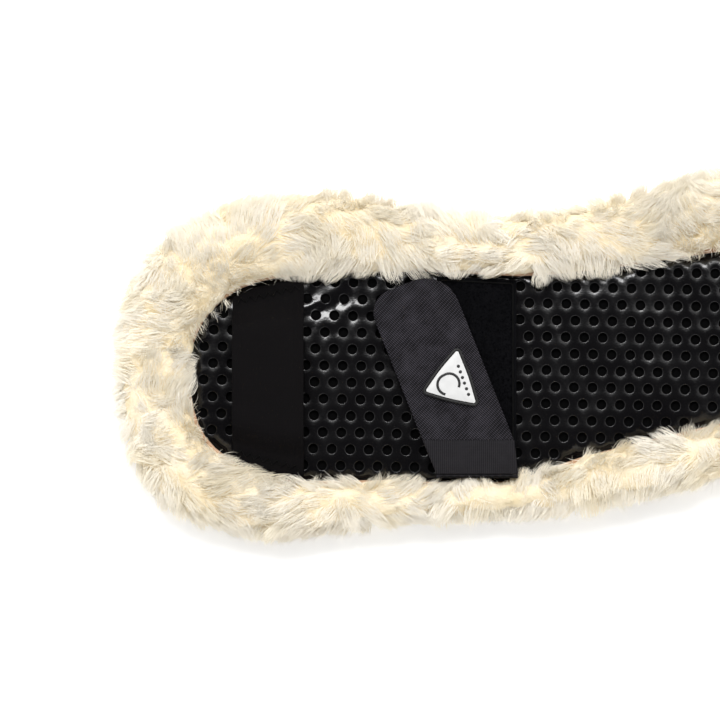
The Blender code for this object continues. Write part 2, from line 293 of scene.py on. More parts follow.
def spread_points(points, spacing):
    """Numbers of points that lie at least spacing from each other, taken in order."""
    cells = {}
    chosen = []
    for i, point in enumerate(points):
        cell = tuple(np.floor(point / spacing).astype(int))
        near = (
            cells.get((cell[0] + dx, cell[1] + dy, cell[2] + dz))
            for dx in (-1, 0, 1) for dy in (-1, 0, 1) for dz in (-1, 0, 1)
        )
        nearby = (k for group in near if group for k in group)
        if all(np.linalg.norm(points[k] - point) >= spacing for k in nearby):
            cells.setdefault(cell, []).append(i)
            chosen.append(i)
    return np.array(chosen)


def strand_faces(rows):
    """One strand's faces: its root end, rows - 2 bands of three sides, and three faces to its tip."""
    faces = [(2, 1, 0)]
    for row in range(rows - 2):
        for k in range(3):
            here, after = 3 * row + k, 3 * row + (k + 1) % 3
            faces.append((here, after, after + 3, here + 3))
    last = 3 * (rows - 2)
    for k in range(3):
        faces.append((last + k, last + (k + 1) % 3, last + 3))
    return faces


def strand_rings(paths, widths):
    """Three points round each row of each path but the last, closer together towards the tip."""
    rows = paths.shape[1]
    along = unit(paths[:, -1] - paths[:, 0])
    side = unit(np.cross(along, np.where(np.abs(along[:, 2:]) > 0.9, [[1, 0, 0]], [[0, 0, 1]])))
    other = np.cross(along, side)
    turns = 2 * math.pi * np.arange(3) / 3
    shape = side[:, None, None] * np.cos(turns)[None, None, :, None]
    shape = shape + other[:, None, None] * np.sin(turns)[None, None, :, None]
    taper = np.linspace(1.0, 0.45, rows - 1)[None, :, None, None]
    return paths[:, :-1, None] + shape * taper * widths[:, None, None, None] / 2


def strand_meshes(name, paths, widths, tones, materials, body):
    """Closed three-sided tapering strands along paths (count, rows, 3).

    The strands of one tone share a piece, or several where they are too many for one.
    """
    rings = strand_rings(paths, widths)
    faces = strand_faces(paths.shape[1])
    sizes = [len(face) for face in faces]
    pattern = np.concatenate([np.array(face) for face in faces])
    per_strand = 3 * (paths.shape[1] - 1) + 1
    most = FACE_LIMIT // sum(size - 2 for size in sizes)
    for tone, material in enumerate(materials):
        members = np.flatnonzero(tones == tone)
        for part, start in enumerate(range(0, len(members), most)):
            chosen = members[start:start + most]
            verts = np.concatenate((rings[chosen].reshape(len(chosen), -1, 3), paths[chosen, -1:]), axis=1)
            loops = (pattern[None, :] + per_strand * np.arange(len(chosen))[:, None]).ravel()
            piece = array_object(
                f"{name}_{material.name}_{part + 1}", verts.reshape(-1, 3), loops,
                np.tile(sizes, len(chosen)), material, smooth=False,
            )
            assign(piece, body)


# ---------------------------------------------------------------- materials

def add_node(tree, kind, inputs=None, **settings):
    """A new shader node, with its inputs linked or set."""
    node = tree.nodes.new("ShaderNode" + kind)
    for key, value in settings.items():
        setattr(node, key, value)
    for key, value in (inputs or {}).items():
        if isinstance(value, bpy.types.NodeSocket):
            tree.links.new(value, node.inputs[key])
        else:
            node.inputs[key].default_value = value
    return node


def add_ramp(tree, value, stops):
    """A value turned into a colour, through stops of (value, colour)."""
    node = add_node(tree, "ValToRGB", {"Fac": value})
    ramp = node.color_ramp
    while len(ramp.elements) < len(stops):
        ramp.elements.new(0.5)
    for element, (place, color) in zip(ramp.elements, stops):
        element.position = place
        element.color = (*color, 1)
    return node.outputs["Color"]


class Nodes:
    """A material under construction: its nodes, its links and its shader."""

    def __init__(self, name, color, roughness, **fixed):
        self.material = bpy.data.materials.new(name)
        self.material.use_nodes = True
        self.tree = self.material.node_tree
        self.shader = self.tree.nodes["Principled BSDF"]
        self.shader.inputs["Base Color"].default_value = (*color, 1)
        self.shader.inputs["Roughness"].default_value = roughness
        for key, value in fixed.items():
            self.shader.inputs[key.replace("_", " ")].default_value = value
        self.coords = self.tree.nodes.new("ShaderNodeTexCoord").outputs["Object"]

    def link(self, socket, name):
        """Feeds one of the shader's inputs."""
        self.tree.links.new(socket, self.shader.inputs[name])

    def math(self, operation, a, b):
        """The result of an operation on two values, each a socket or a number."""
        return add_node(self.tree, "Math", {0: a, 1: b}, operation=operation).outputs[0]

    def turned(self, angle):
        """The object's coordinates, turned about Z."""
        inputs = {"Vector": self.coords, "Rotation": (0, 0, angle)}
        return add_node(self.tree, "Mapping", inputs).outputs[0]

    def noise(self, size, detail=3):
        """Cloudy noise in 0..1, with blotches of about a size."""
        inputs = {"Vector": self.coords, "Scale": 1 / size, "Detail": detail}
        return add_node(self.tree, "TexNoise", inputs).outputs["Fac"]

    def bands(self, pitch, direction="X", vector=None, distortion=0.0):
        """Waves in 0..1 at a pitch. Blender's own repeat every pi / 10 at scale 1."""
        scale = math.pi / 10 / pitch
        inputs = {"Vector": vector or self.coords, "Scale": scale, "Distortion": distortion}
        return add_node(self.tree, "TexWave", inputs, bands_direction=direction).outputs["Fac"]

    def tint(self, value, stops):
        """Colours the surface by a value."""
        self.link(add_ramp(self.tree, value, stops), "Base Color")

    def dull(self, value, stops):
        """Makes the surface more or less rough by a value, through stops of (value, roughness)."""
        stops = [(place, gray(roughness)) for place, roughness in stops]
        self.link(add_ramp(self.tree, value, stops), "Roughness")

    def bump(self, height, distance, strength):
        """Raises the surface by a value, in its shading only."""
        inputs = {"Height": height, "Distance": distance, "Strength": strength}
        self.link(add_node(self.tree, "Bump", inputs).outputs["Normal"], "Normal")


def gray(value):
    """A colour without a hue."""
    return (value, value, value)


def wool_strand_materials():
    """Constant tones: the variation comes from thousands of separate strands in several tones."""
    return [
        Nodes(name, color, 0.8, Specular_IOR_Level=0.2).material
        for name, color in WOOL_TONES.items()
    ]


def wool_base_material():
    """The mass of the wool, seen between its fibres: yellower at the roots, and darker than the fibres as
    painted shade in the creases between the locks.
    """
    wool = Nodes("wool_hide_side", (0.95, 0.85, 0.66), 0.9, Specular_IOR_Level=0.2)
    # All its tones are darker than the fibres': painted crease shade over wool that is yellower at the
    # roots
    wool.tint(wool.noise(14 * MM, 4), [
        (0.30, (0.85, 0.71, 0.46)), (0.48, (0.90, 0.78, 0.56)), (0.7, (0.93, 0.84, 0.67)),
    ])
    wool.bump(wool.noise(1.6 * MM, 5), 1.2 * MM, 0.8)
    return wool.material


def hide_material():
    """Cut tan hide."""
    hide = Nodes("hide_edge", (0.52, 0.33, 0.2), 0.7)
    hide.tint(hide.noise(3 * MM, 4), [(0.35, (0.42, 0.25, 0.14)), (0.65, (0.60, 0.40, 0.27))])
    hide.bump(hide.noise(0.8 * MM, 4), 0.15 * MM, 0.7)
    return hide.material


def gel_material():
    """Black gel with a wet look, glossier in some places than in others."""
    gel = Nodes("gel_gloss", (0.004, 0.0038, 0.0043), 0.14, Coat_Weight=0.15, Coat_Roughness=0.06)
    gel.dull(gel.noise(20 * MM, 4), [(0.35, 0.11), (0.65, 0.24)])
    fine = gel.math("ADD", gel.noise(9 * MM, 3), gel.noise(1.1 * MM, 2))
    gel.bump(fine, 0.12 * MM, 0.5)
    return gel.material


def weave_material(name, color, warp, weft):
    """Plain woven cloth: threads at two pitches that pass over and under each other."""
    cloth = Nodes(name, color, 0.85, Specular_IOR_Level=0.07)
    threads = cloth.math("MULTIPLY", cloth.bands(warp, "X"), cloth.bands(weft, "Y"))
    worn = cloth.math("ADD", cloth.math("MULTIPLY", threads, 0.5), cloth.noise(18 * MM, 5))
    dark, light = (tuple(share * c for c in color) for share in (0.88, 1.24))
    cloth.tint(worn, [(0.35, dark), (0.75, color), (0.8, light)])
    cloth.bump(threads, 0.06 * MM, 0.7)
    return cloth.material


def twill_material(label):
    """Flap webbing: fine diagonal ribs, broken up by the picks that cross them."""
    lean = math.radians(-90 - 42 * SIDES[label])
    cloth = Nodes("flap_twill_" + label, (0.013, 0.012, 0.014), 0.8, Specular_IOR_Level=0.15)
    ribs = cloth.bands(TWILL_PITCH, "X", cloth.turned(lean), 0.35)
    picks = cloth.bands(1.7 * TWILL_PITCH, "Y", cloth.turned(lean), 0.6)
    threads = cloth.math("MULTIPLY", ribs, cloth.math("ADD", cloth.math("MULTIPLY", picks, 0.45), 0.55))
    patches = cloth.math("MULTIPLY", cloth.noise(7 * MM, 4), 0.6)
    worn = cloth.math("ADD", cloth.math("MULTIPLY", threads, 0.7), patches)
    cloth.tint(worn, [
        (0.30, (0.0006, 0.0005, 0.0008)), (0.55, (0.0040, 0.0036, 0.0048)), (0.85, (0.050, 0.046, 0.057)),
    ])
    cloth.bump(threads, 0.28 * MM, 1.0)
    return cloth.material


def tab_material():
    """Elastic of the tab: narrow lengthwise ribs."""
    cloth = Nodes("tab_elastic_ribs", (0.010, 0.0095, 0.011), 0.8, Specular_IOR_Level=0.15)
    ribs = cloth.bands(1.05 * MM, distortion=0.5)
    picks = cloth.bands(0.8 * MM, "Y", distortion=0.4)
    threads = cloth.math("ADD", cloth.math("MULTIPLY", ribs, 0.6), cloth.math("MULTIPLY", picks, 0.2))
    worn = cloth.math("ADD", threads, cloth.math("MULTIPLY", cloth.noise(5 * MM, 4), 0.4))
    cloth.tint(worn, [(0.25, (0.004, 0.0036, 0.0045)), (0.85, (0.020, 0.0185, 0.0215))])
    cloth.bump(threads, 0.15 * MM, 0.8)
    return cloth.material


def rubber_material(name, color, roughness, grain=0.03):
    """Moulded rubber or plastic: patches that differ a little in gloss and tone, and a fine grain."""
    rubber = Nodes(name, color, roughness)
    rubber.dull(rubber.noise(3 * MM, 4), [(0.3, roughness - 0.08), (0.7, roughness + 0.08)])
    worn = tuple(0.93 * c for c in color)
    rubber.tint(rubber.noise(6 * MM, 3), [(0.35, worn), (0.6, color)])
    rubber.bump(rubber.noise(0.4 * MM, 3), grain * MM, 0.5)
    return rubber.material


def thread_material():
    """Sewing thread: fine diagonal twists and slight changes of shade."""
    thread = Nodes("sewing_thread", (0.003, 0.003, 0.0035), 0.8, Specular_IOR_Level=0.08)
    twist = thread.bands(0.45 * MM, "DIAGONAL")
    shade = thread.math("ADD", thread.math("MULTIPLY", twist, 0.5), thread.noise(5 * MM, 3))
    thread.tint(shade, [(0.4, gray(0.0015)), (1.0, gray(0.006))])
    thread.bump(twist, 0.08 * MM, 0.8)
    return thread.material


def floor_material():
    """White paper that glows a little, as painted light, so that the shadow on it stays faint."""
    return Nodes("studio_floor", (0.97, 0.97, 0.97), 0.9, Emission_Strength=0.25).material


# ---------------------------------------------------------------- wool

def roll_shape():
    """The rolled edge's vertices, the faces that fibres grow on, and its smooth normals."""
    verts, faces = node_mesh("sheepskin_edge_roll")
    normals = vertex_values(welded("sheepskin_edge_roll"), "normal")
    outward = (normals[:, :2] * (verts[:, :2] - nearest_spine(verts))).sum(axis=1)
    verts = verts - normals * root_depth(verts)[:, None]
    inner_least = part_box("gel_panel")[1][2] + 1 * MM
    shown = []
    for face in faces:
        corners = list(face)
        upright = abs(normals[corners, 2].mean()) < 0.9
        inner_side = upright and outward[corners].mean() < 0
        if not inner_side or verts[corners, 2].mean() > inner_least:
            shown.append(face)
    return verts, shown, normals


def root_depth(verts):
    """How far inside the roll's surface the fibres are rooted: nothing at its foot and at the panel."""
    inside = panel_reach(verts[:, :2])
    return ROOT_DEPTH * np.clip(-inside / ROOT_RAMP, 0, 1) * np.clip(verts[:, 2] / ROOT_DEPTH, 0, 1)


def nearest_spine(verts):
    """For each point of the roll, the nearest place on the line along the middle of the panel."""
    inner = panel_outline()
    end_margin = 40 * MM
    half_band = 15 * MM
    middles = []
    for x in np.linspace(inner[:, 0].min() + end_margin, inner[:, 0].max() - end_margin, 40):
        near = inner[np.abs(inner[:, 0] - x) < half_band, 1]
        middles.append((x, (near.min() + near.max()) / 2, 0))
    middles = np.array(middles)
    number, _ = nearest_of(verts * [1, 1, 0], middles)
    return middles[number, :2]


def wool_flow(points):
    """Which way the wool is combed: a slow swirl that neighbouring locks share."""
    return np.stack([smooth_noise(points, 75 * MM, seed) for seed in (11, 12, 13)], axis=1)


def combed_along(points, turned):
    """The wool's flow laid along its surface."""
    flow = wool_flow(points)
    return unit(flow - turned * (flow * turned).sum(axis=1)[:, None])


def make_locks(source):
    """Where the locks of wool are rooted on the roll, and which way each one leans."""
    verts, faces, normals = roll_shape()
    points, turned = sample_surface(verts, faces, normals, LOCK_PLACES, source)
    chosen = spread_points(points, LOCK_SPACING)
    points, turned = points[chosen], turned[chosen]
    combed = combed_along(points, turned)
    lean = unit(0.5 * turned + combed + 0.16 * source.normal(size=turned.shape))
    return points, lean


def make_wool_body(locks):
    """The mass of the wool under its fibres: the rolled edge with a dome over each lock."""
    mesh = welded("sheepskin_edge_roll").copy()
    body = new_object("wool_edge_body", mesh, wool_base_material())
    subdivide(body, 2)
    normals = vertex_values(body.data, "normal")

    def domed(verts):
        verts = verts - normals * root_depth(verts)[:, None]
        _, distance = nearest_of(verts, locks)
        dome = np.clip(1 - (distance / (0.75 * LOCK_SPACING)) ** 2, 0, 1)
        lift = LOCK_HEIGHT * (dome + smooth_noise(verts, 26 * MM, 5))
        lift *= np.clip(verts[:, 2] / (6 * MM), 0, 1)
        verts = verts + normals * lift[:, None]
        verts[:, 2] = np.maximum(verts[:, 2], PILE_DEPTH)
        return verts

    move_verts(body, domed)
    assign(body, "root", "sheepskin_edge_roll")


def bridge(mesh_data, here, after):
    """A band of faces between two closed rings of vertices."""
    for k in range(len(here)):
        onward = (k + 1) % len(here)
        mesh_data.faces.new((here[k], here[onward], after[onward], after[k]))


def subdivide(piece, levels):
    """Rounds a piece's mesh with applied subdivision."""
    modifier = piece.modifiers.new("rounder", "SUBSURF")
    modifier.levels = levels
    modifier.render_levels = levels
    depsgraph = bpy.context.evaluated_depsgraph_get()
    mesh = bpy.data.meshes.new_from_object(piece.evaluated_get(depsgraph))
    piece.modifiers.clear()
    piece.data = mesh


def make_wool_strands(locks, leans, materials):
    """The fleece of the rolled edge: fibres gathered into locks, and some that stray."""
    source = np.random.default_rng(21)
    verts, faces, normals = roll_shape()
    roots, turned = sample_surface(verts, faces, normals, STRANDS_ON_ROLL, source)
    lock, distance = nearest_of(roots, locks)
    count = len(roots)
    shortest, mean, longest = STRAND_LENGTHS
    length = mean + (2.0 * smooth_noise(roots, 45 * MM, 3) + source.normal(0, 1.6, count)) * MM
    length = np.clip(length, shortest, longest)
    stray = source.random(count) < STRAY_SHARE
    scatter = (0.14 + 0.40 * stray)[:, None] * source.normal(size=(count, 3))
    direction = unit(0.15 * turned + leans[lock] + scatter)
    gather = np.where(stray, 0.1, source.uniform(*STRAND_GATHER, count))[:, None]
    lock_tip = locks[lock] + leans[lock] * LOCK_REACH
    curl = source.normal(size=(count, 3)) * 0.8 * MM
    steps = np.linspace(0, 1, STRAND_ROWS)
    paths = np.empty((count, STRAND_ROWS, 3))
    for row, t in enumerate(steps):
        straight = roots + direction * (length * t)[:, None]
        pulled = straight + (lock_tip - straight) * gather * t ** 1.4 * 0.75
        paths[:, row] = pulled + curl * math.sin(math.pi * t)
    paths[:, :, 2] -= (1.2 * MM * steps ** 2)[None, :]
    fringe_limit(paths)
    paths[:, :, 2] = np.clip(paths[:, :, 2], 0.35 * MM, None)
    keep_off_panel(paths)
    # Strands rooted far from their lock, in the creases between locks, take the darker, yellower tones:
    # yellower wool near the roots, and painted shade
    crease = np.clip(distance / LOCK_SPACING, 0, 1)
    mood = smooth_noise(roots, 30 * MM, 17) + 0.8 * crease + source.normal(0, 0.25, count)
    tones = np.digitize(mood, [0.2, 0.85, 1.5])
    widths = STRAND_WIDTH * source.uniform(0.7, 1.3, count)
    strand_meshes("fleece", paths, widths, tones, materials, "root")


def fringe_limit(paths):
    """Draws back the fibres that reach too far in over the panel, to an uneven line."""
    tips = paths[:, -1, :2]
    reach = panel_reach(tips)
    allowed = FRINGE * (1 + 0.75 * smooth_noise(paths[:, -1] * [1, 1, 0], 16 * MM, 61))
    for label in SIDES:
        low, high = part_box("loop_tape_" + label)
        middle, half = (low[0] + high[0]) / 2, (high[0] - low[0]) / 2
        allowed -= 0.6 * FRINGE * (np.abs(tips[:, 0] - middle) < 1.1 * half)
    root_reach = panel_reach(paths[:, 0, :2])
    over = (reach > allowed) & (reach > root_reach)
    share = np.clip((allowed - root_reach) / np.maximum(reach - root_reach, 1e-6), 0.05, 1)
    share = np.where(over, share, 1.0)[:, None]
    for row in range(1, paths.shape[1]):
        paths[:, row, :2] = paths[:, 0, :2] + (paths[:, row, :2] - paths[:, 0, :2]) * share


def keep_off_panel(paths):
    """Fibres that lean in over the panel pass over the straps' sewn ends."""
    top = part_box("loop_tape_left")[1][2] + 0.7 * MM
    inside = panel_reach(paths[:, 1:, :2].reshape(-1, 2))
    over = (inside > 0).reshape(len(paths), -1)
    height = paths[:, 1:, 2]
    paths[:, 1:, 2] = np.where(over, np.maximum(height, top), height)


def make_hide_edge():
    """The cut edge of the hide, which shows as a thin tan line at the foot of the wool."""
    outline = panel_outline()
    turn = 1 if np.cross(outline, np.roll(outline, -1, axis=0)).sum() > 0 else -1
    outline = outline[::turn]
    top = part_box("gel_panel")[1][2]
    waver = 0.5 * MM * smooth_noise(np.column_stack((outline, 0 * outline[:, 0])), 25 * MM, 71)
    # The strip's section, in millimetres: how far inside the outline, and how far over the gel
    section = [(-1.6, -0.8), (-1.6, 0.6), (-0.6, 1.0), (0.5, 0.75), (0.9, 0.2), (0.8, -0.2)]
    mesh_data = bmesh.new()
    lines = []
    for distance, height in section:
        ring = shrunk(outline, distance * MM + waver[:, None] * (distance > 0))
        ring = np.column_stack((ring, np.full(len(ring), top + height * MM)))
        lines.append([mesh_data.verts.new(point) for point in ring])
    for here, after in zip(lines, lines[1:] + lines[:1]):
        bridge(mesh_data, here, after)
    strip = bmesh_object("hide_edge", mesh_data, hide_material())
    assign(strip, "root")


def make_lining(materials):
    """The soft pad against the horse, and the pile that it lies on."""
    mesh = welded("sheepskin_lining").copy()
    # The pad wears the wool body's material, with its painted crease shade
    pad = new_object("wool_lining_body", mesh, bpy.data.materials["wool_hide_side"])
    grid_cut(pad, 6 * MM)

    def padded(verts):
        swell = 1 + 0.5 * smooth_noise(verts * [1, 1, 0], 20 * MM, 83)
        return np.column_stack((verts[:, :2], np.maximum(verts[:, 2], PILE_DEPTH * swell)))

    move_verts(pad, padded)
    assign(pad, "root", "sheepskin_lining")
    make_lining_pile(materials)


def make_lining_pile(materials):
    """Fibres combed flat under the lining, each from inside the pad down to what it lies on."""
    source = np.random.default_rng(85)
    verts, faces = node_mesh("sheepskin_lining")
    under = [face for face in faces if verts[list(face), 2].max() < 1 * MM]
    down = np.tile([0.0, 0.0, -1.0], (len(verts), 1))
    roots, _ = sample_surface(verts, under, down, STRANDS_ON_LINING, source)
    count = len(roots)
    root_height = 1.6 * PILE_DEPTH
    roots[:, 2] = root_height
    flow = wool_flow(roots) * [1, 1, 0] + 0.45 * source.normal(size=roots.shape) * [1, 1, 0]
    length = source.uniform(6, 12, count)[:, None] * MM
    steps = np.linspace(0, 1, STRAND_ROWS)
    paths = np.stack([roots + unit(flow) * length * t for t in steps], axis=1)
    depth = (root_height - 0.4 * MM) * source.uniform(0.6, 1.0, count)
    paths[:, :, 2] -= depth[:, None] * np.sin(0.5 * math.pi * steps)[None]
    mood = smooth_noise(roots, 30 * MM, 87) + source.normal(0, 0.3, count)
    tones = np.digitize(mood, [0, 0.5, 1])
    widths = STRAND_WIDTH * 1.3 * source.uniform(0.7, 1.3, count)
    strand_meshes("lining_pile", paths, widths, tones, materials, "root")


def bisect(mesh_data, place, normal):
    """Divides a mesh along a plane, and keeps both sides."""
    bmesh.ops.bisect_plane(
        mesh_data, geom=mesh_data.verts[:] + mesh_data.edges[:] + mesh_data.faces[:],
        plane_co=place, plane_no=normal,
    )


def grid_cut(piece, pitch, rows=()):
    """Divides a plate along a square grid, and at rows (places along Y), so that it can bend."""
    mesh_data = bmesh_of(piece.data)
    for direction in (Vector((1, 0, 0)), Vector((0, 1, 0))):
        places = [vert.co.dot(direction) for vert in mesh_data.verts]
        low, high = min(places), max(places)
        steps = int((high - low) / pitch)
        for step in range(1, steps + 1):
            bisect(mesh_data, direction * (low + (high - low) * step / (steps + 1)), direction)
    for y in rows:
        bisect(mesh_data, (0, y, 0), (0, 1, 0))
    mesh_data.to_mesh(piece.data)
    mesh_data.free()


# ---------------------------------------------------------------- gel panel

def panel_outline():
    """The panel's edge in order, as (x, y), read from the top face of the cloth under the gel."""
    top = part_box("backing_cloth")[1][2] - 1e-6
    mesh_data = bmesh_of(welded("backing_cloth"))
    follows = {}
    for edge in mesh_data.edges:
        levels = [vert.co.z > top for vert in edge.verts]
        upright = [abs(face.normal.z) < 0.5 for face in edge.link_faces]
        if all(levels) and any(upright) and not all(upright):
            a, b = edge.verts
            follows.setdefault(a.index, []).append(b.index)
            follows.setdefault(b.index, []).append(a.index)
    start = next(iter(follows))
    order = [start]
    before, here = None, start
    while True:
        onward = [k for k in follows[here] if k != before]
        before, here = here, onward[0]
        if here == start:
            break
        order.append(here)
    mesh_data.verts.ensure_lookup_table()
    outline = np.array([mesh_data.verts[k].co[:2] for k in order])
    mesh_data.free()
    return outline


def outline_distance(points, outline):
    """Signed distance of each point from the outline, positive inside, and the nearest place on it."""
    start = outline
    end = np.roll(outline, -1, axis=0)
    span = end - start
    best = np.full(len(points), np.inf)
    place = np.zeros_like(points)
    inside = np.zeros(len(points), bool)
    for a, b, ab in zip(start, end, span):
        t = np.clip(((points - a) @ ab) / max(ab @ ab, 1e-12), 0, 1)
        near = a + t[:, None] * ab
        away = np.linalg.norm(points - near, axis=1)
        closer = away < best
        best = np.where(closer, away, best)
        place = np.where(closer[:, None], near, place)
        spans = (a[1] > points[:, 1]) != (b[1] > points[:, 1])
        if abs(ab[1]) > 1e-12:
            crossing = a[0] + (points[:, 1] - a[1]) * ab[0] / ab[1]
            inside ^= spans & (points[:, 0] < crossing)
    return np.where(inside, best, -best), place


def panel_reach(points):
    """About how far inside the panel's outline points lie, read from a grid of exact distances."""
    if not REACH:
        outline = panel_outline()
        low = outline.min(axis=0) - 60 * MM
        high = outline.max(axis=0) + 60 * MM
        xs, ys = (np.arange(low[k], high[k], REACH_STEP) for k in (0, 1))
        places = np.stack(np.meshgrid(xs, ys, indexing="ij"), axis=-1)
        distance, _ = outline_distance(places.reshape(-1, 2), outline)
        REACH["low"] = low
        REACH["grid"] = distance.reshape(len(xs), len(ys))
    grid = REACH["grid"]
    place = (points - REACH["low"]) / REACH_STEP
    cell = np.clip(np.floor(place).astype(int), 0, np.array(grid.shape) - 2)
    part = np.clip(place - cell, 0, 1)
    i, j = cell.T
    u, v = part.T
    near = grid[i, j] * (1 - v) + grid[i, j + 1] * v
    far = grid[i + 1, j] * (1 - v) + grid[i + 1, j + 1] * v
    return near * (1 - u) + far * u


def lattice_turned(points):
    """Points turned as the perforation is turned in the panel."""
    cos, sin = math.cos(HOLE_TURN), math.sin(HOLE_TURN)
    return points @ np.array([[cos, sin], [-sin, cos]])


def hole_centres(outline):
    """The perforation's lattice: rows a hex pitch apart, clear of the panel's edge."""
    reach = 2 * np.abs(outline).max()
    rows = int(reach / HOLE_ROW_PITCH)
    columns = int(reach / HOLE_PITCH)
    centres = [
        ((column + 0.5 * (row % 2)) * HOLE_PITCH, row * HOLE_ROW_PITCH)
        for row in range(-rows, rows + 1) for column in range(-columns, columns + 1)
    ]
    centres = lattice_turned(np.array(centres)) + FIRST_HOLE
    distance, _ = outline_distance(centres, outline)
    return centres[distance > HOLE_RADIUS + HOLE_MARGIN]


def sheet_cell():
    """The hexagon of sheet that belongs to one hole, with points along its sides."""
    radius = HOLE_PITCH / math.sqrt(3)
    stretch = HOLE_ROW_PITCH / (1.5 * radius)
    turns = np.radians(30 + 60 * np.arange(7))
    corners = radius * np.column_stack((np.cos(turns), stretch * np.sin(turns)))
    shares = np.arange(HOLE_SIDES // 6) / (HOLE_SIDES // 6)
    cell = [(1 - t) * a + t * b for a, b in zip(corners, corners[1:]) for t in shares]
    return lattice_turned(np.array(cell))


def gel_cells(centres, low, high):
    """Open hexagons of sheet, each with its hole, not yet joined to each other."""
    hexagon = sheet_cell()
    circle = unit(hexagon) * HOLE_RADIUS
    # From the top of the hexagon's side in to the rim, down the bore and back out underneath
    rings = [
        (hexagon, high), (circle * 1.14, high), (circle * 1.05, high - 0.10 * MM),
        (circle, high - 0.5 * MM), (circle * 0.97, high - 1.4 * MM), (circle, low), (hexagon, low),
    ]
    cell = np.concatenate([np.column_stack((ring, np.full(len(ring), z))) for ring, z in rings])
    verts = (cell[None] + np.column_stack((centres, np.zeros(len(centres))))[:, None]).reshape(-1, 3)
    faces = []
    for level in range(len(rings) - 1):
        for k in range(HOLE_SIDES):
            a = level * HOLE_SIDES + k
            b = level * HOLE_SIDES + (k + 1) % HOLE_SIDES
            faces.append((a, b, b + HOLE_SIDES, a + HOLE_SIDES))
    loops = (np.array(faces).ravel()[None] + len(cell) * np.arange(len(centres))[:, None]).ravel()
    return array_object("perforated_gel", verts, loops, np.full(len(loops) // 4, 4), gel_material())


def close_sheet(gel, outline, low, high):
    """Joins the cells, draws the outermost ones out to the panel's edge, and walls that edge."""
    mesh_data = bmesh_of(gel.data)
    bmesh.ops.remove_doubles(mesh_data, verts=mesh_data.verts, dist=0.05 * MM)
    border = list({vert for edge in mesh_data.edges if edge.is_boundary for vert in edge.verts})
    _, places = outline_distance(np.array([vert.co[:2] for vert in border]), outline)
    for vert, place in zip(border, places):
        vert.co.x, vert.co.y = place
    open_edges = [edge for edge in mesh_data.edges if edge.is_boundary and edge.verts[0].co.z > high - MM]
    wall = bmesh.ops.extrude_edge_only(mesh_data, edges=open_edges)
    for item in wall["geom"]:
        if isinstance(item, bmesh.types.BMVert):
            item.co.z = low
    bmesh.ops.remove_doubles(mesh_data, verts=mesh_data.verts, dist=0.005 * MM)
    bmesh.ops.recalc_face_normals(mesh_data, faces=mesh_data.faces)
    mesh_data.to_mesh(gel.data)
    mesh_data.free()


def make_gel():
    """The gel sheet: a hexagon of sheet round each hole, joined along their sides."""
    outline = panel_outline()
    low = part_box("gel_panel")[0][2]
    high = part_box("gel_panel")[1][2]
    gel = gel_cells(hole_centres(outline), low, high)
    close_sheet(gel, outline, low, high)
    move_verts(gel, lambda verts: rippled(verts, low, high))
    gel.data.shade_smooth()
    assign(gel, "root", "gel_panel")


def rippled(verts, low, high):
    """The gel's vertices with soft hollows all over, and wrinkles between each elastic and its flap."""
    flat = verts * [1, 1, 0]
    dip = -GEL_HOLLOW * (1 + smooth_noise(flat, 34 * MM, 31))
    inwards = panel_reach(flat[:, :2])
    dip -= GEL_CROWN * np.clip(1 - inwards / CROWN_REACH, 0, 1) ** 2
    for label, side in SIDES.items():
        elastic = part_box("elastic_loop_" + label)
        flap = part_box("closure_flap_" + label)
        inner = elastic[1][0] if side < 0 else elastic[0][0]
        outer = flap[0][0] if side < 0 else flap[1][0]
        middle = np.array([inner + 0.22 * (outer - inner), flap[1][1] - 12 * MM])
        away = (flat[:, :2] - middle) / WRINKLE_PATCH
        patch = np.exp(-(away ** 2).sum(axis=1))
        across = 2 * math.pi * (flat[:, 0] * 0.45 * side + flat[:, 1]) / WRINKLE_PITCH
        wave = np.sin(across + 2.2 * smooth_noise(flat, 20 * MM, 33, 1))
        dip += GEL_WRINKLE * patch * (wave - 1)
    dip = np.maximum(dip, -GEL_DEEPEST)
    share = np.clip((verts[:, 2] - low) / (high - low), 0, 1)
    verts[:, 2] += dip * share
    return verts


def make_backing():
    """The black cloth that shows through the perforation."""
    mesh = welded("backing_cloth").copy()
    material = weave_material("backing_knit", (0.0012, 0.0012, 0.0014), 0.9 * MM, 0.9 * MM)
    cloth = new_object("backing_cloth_sheet", mesh, material, smooth=False)
    assign(cloth, "root", "backing_cloth")
    plate_area("backing_cloth")


# ---------------------------------------------------------------- straps

def strap_lines(node):
    """A cross strap's two ends and its height: functions of X, and of X and Y."""
    verts, _ = node_mesh(node)
    columns = np.unique(np.round(verts[:, 0], 5))
    ends = [verts[np.abs(verts[:, 0] - x) < 1e-5, 1] for x in columns]
    rear = np.array([ys.min() for ys in ends])
    front = np.array([ys.max() for ys in ends])
    surface = surface_of(node)
    middle = (columns[0] + columns[-1]) / 2
    low_y = np.interp(middle, columns, rear)
    high_y = np.interp(middle, columns, front)
    rows = np.linspace(0.002, 0.998, 60)
    heights = []
    for t in rows:
        above = Vector((middle, low_y + (high_y - low_y) * t, 1.0))
        hit = surface.ray_cast(above, Vector((0, 0, -1)))
        heights.append(hit[0].z)
    return columns, rear, front, rows, np.array(heights)


def strap_profile(width, thickness, relief):
    """A strap's cross-section as (across, height): a ribbed top, round edges and a flat underside."""
    edge = thickness / 2
    half = width / 2 - edge
    profile = [(across, relief(across)) for across in np.linspace(-half, half, RIB_POINTS)]
    turns = [math.pi * k / 6 for k in range(1, 6)]
    round_edge = [(half + edge * math.sin(turn), -edge + edge * math.cos(turn)) for turn in turns]
    profile += round_edge
    profile += [(half, -thickness), (-half, -thickness)]
    profile += [(-across, height) for across, height in reversed(round_edge)]
    return profile


def selvedge(width, ribs, pitch, depth):
    """Relief of a woven band: a few lengthwise ribs along each edge, and a plain field between."""
    def relief(across):
        inwards = width / 2 - abs(across)
        if inwards < ribs * pitch:
            return -depth * (0.5 + 0.5 * math.cos(2 * math.pi * inwards / pitch))
        return -0.4 * depth
    return relief


